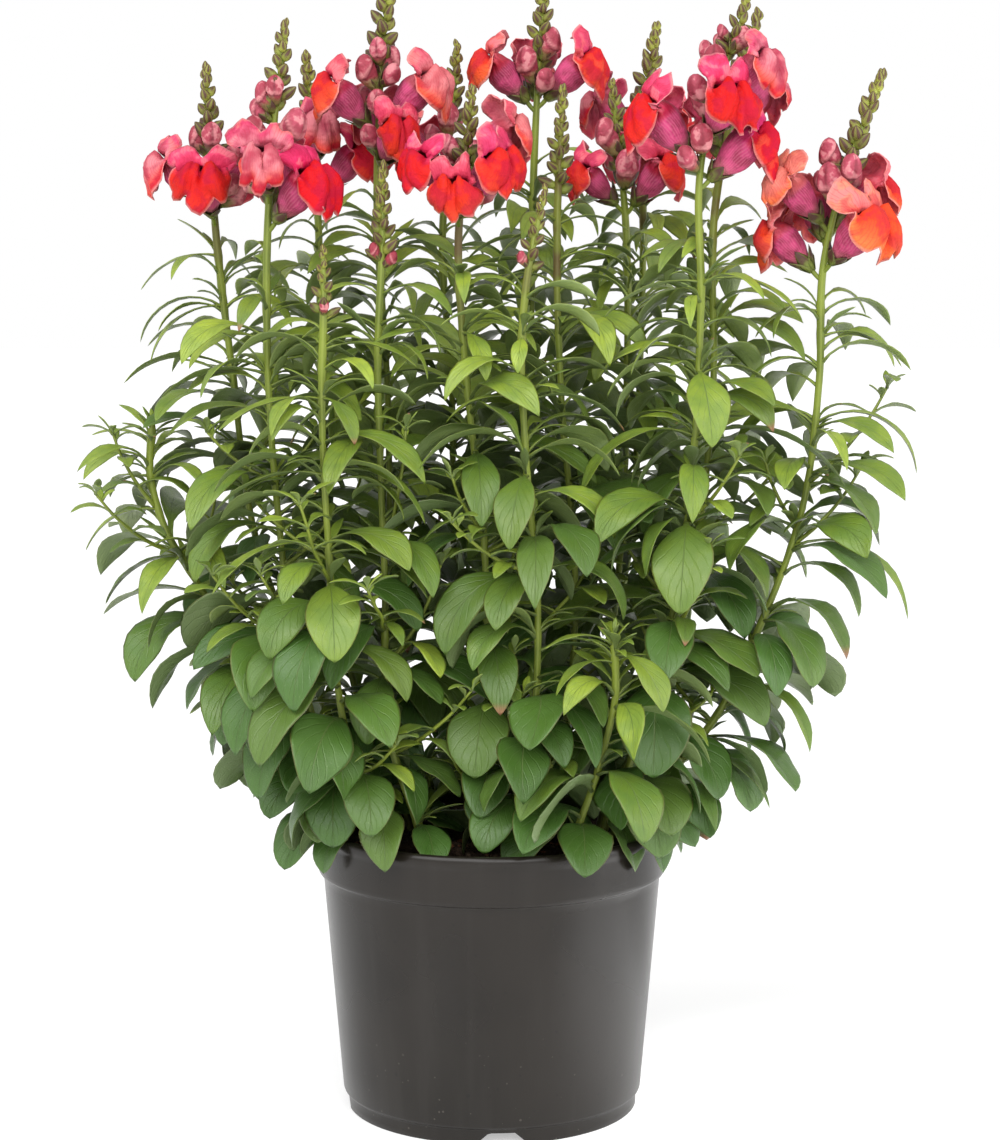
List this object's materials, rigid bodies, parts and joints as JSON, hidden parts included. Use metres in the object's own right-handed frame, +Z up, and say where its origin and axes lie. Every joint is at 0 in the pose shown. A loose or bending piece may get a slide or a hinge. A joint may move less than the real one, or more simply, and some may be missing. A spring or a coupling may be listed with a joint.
{
  "type": "snapdragon plant",
  "caption": "Potted snapdragon: upright leafy stems topped with two-lipped red and pink blooms and bud spikes, in a dark round nursery pot.",
  "frame": {"origin": "on the standing surface, under the middle of the plant's overall box", "axes": "+Z up along the stems; -Y is the plant's front, the side with the fullest show of blooms; +X to the right seen from the front"},
  "size_m": [0.4412, 0.2592, 0.615],
  "materials": {
    "pot_plastic": "satin",
    "soil": "rough and crumbly",
    "leaf_green": "satin",
    "bloom_red": "soft, velvety"
  },
  "bodies": {
    "root": {"nursery_pot": "pot_plastic", "potting_soil": "soil", "leafy_stem_01": "leaf_green", "leafy_stem_02": "leaf_green", "leafy_stem_03": "leaf_green", "leafy_stem_04": "leaf_green", "leafy_stem_05": "leaf_green", "leafy_stem_06": "leaf_green", "leafy_stem_07": "leaf_green", "leafy_stem_08": "leaf_green", "leafy_stem_09": "leaf_green", "leafy_stem_10": "leaf_green", "leafy_stem_11": "leaf_green", "leafy_stem_12": "leaf_green", "leafy_stem_13": "leaf_green", "leafy_stem_14": "leaf_green", "leafy_stem_15": "leaf_green", "leafy_stem_16": "leaf_green", "leafy_stem_17": "leaf_green", "leafy_stem_18": "leaf_green", "bloom_01": "bloom_red", "bloom_02": "bloom_red", "bloom_03": "bloom_red", "bloom_04": "bloom_red", "bloom_05": "bloom_red", "bloom_06": "bloom_red", "bloom_07": "bloom_red", "bloom_08": "bloom_red", "bloom_09": "bloom_red", "bloom_10": "bloom_red", "bloom_11": "bloom_red", "bloom_12": "bloom_red", "bloom_13": "bloom_red", "bloom_14": "bloom_red", "bloom_15": "bloom_red", "bloom_16": "bloom_red", "bloom_17": "bloom_red", "bloom_18": "bloom_red", "bloom_19": "bloom_red", "bloom_20": "bloom_red", "bloom_21": "bloom_red", "bloom_22": "bloom_red", "bloom_23": "bloom_red", "bloom_24": "bloom_red", "bloom_25": "bloom_red", "bloom_26": "bloom_red", "bloom_27": "bloom_red", "bloom_28": "bloom_red", "bloom_29": "bloom_red", "bloom_30": "bloom_red", "bloom_31": "bloom_red", "bloom_32": "bloom_red", "bloom_33": "bloom_red", "bloom_34": "bloom_red", "bloom_35": "bloom_red", "bloom_36": "bloom_red", "bloom_37": "bloom_red", "bloom_38": "bloom_red", "bloom_39": "bloom_red"}
  },
  "joints": []
}
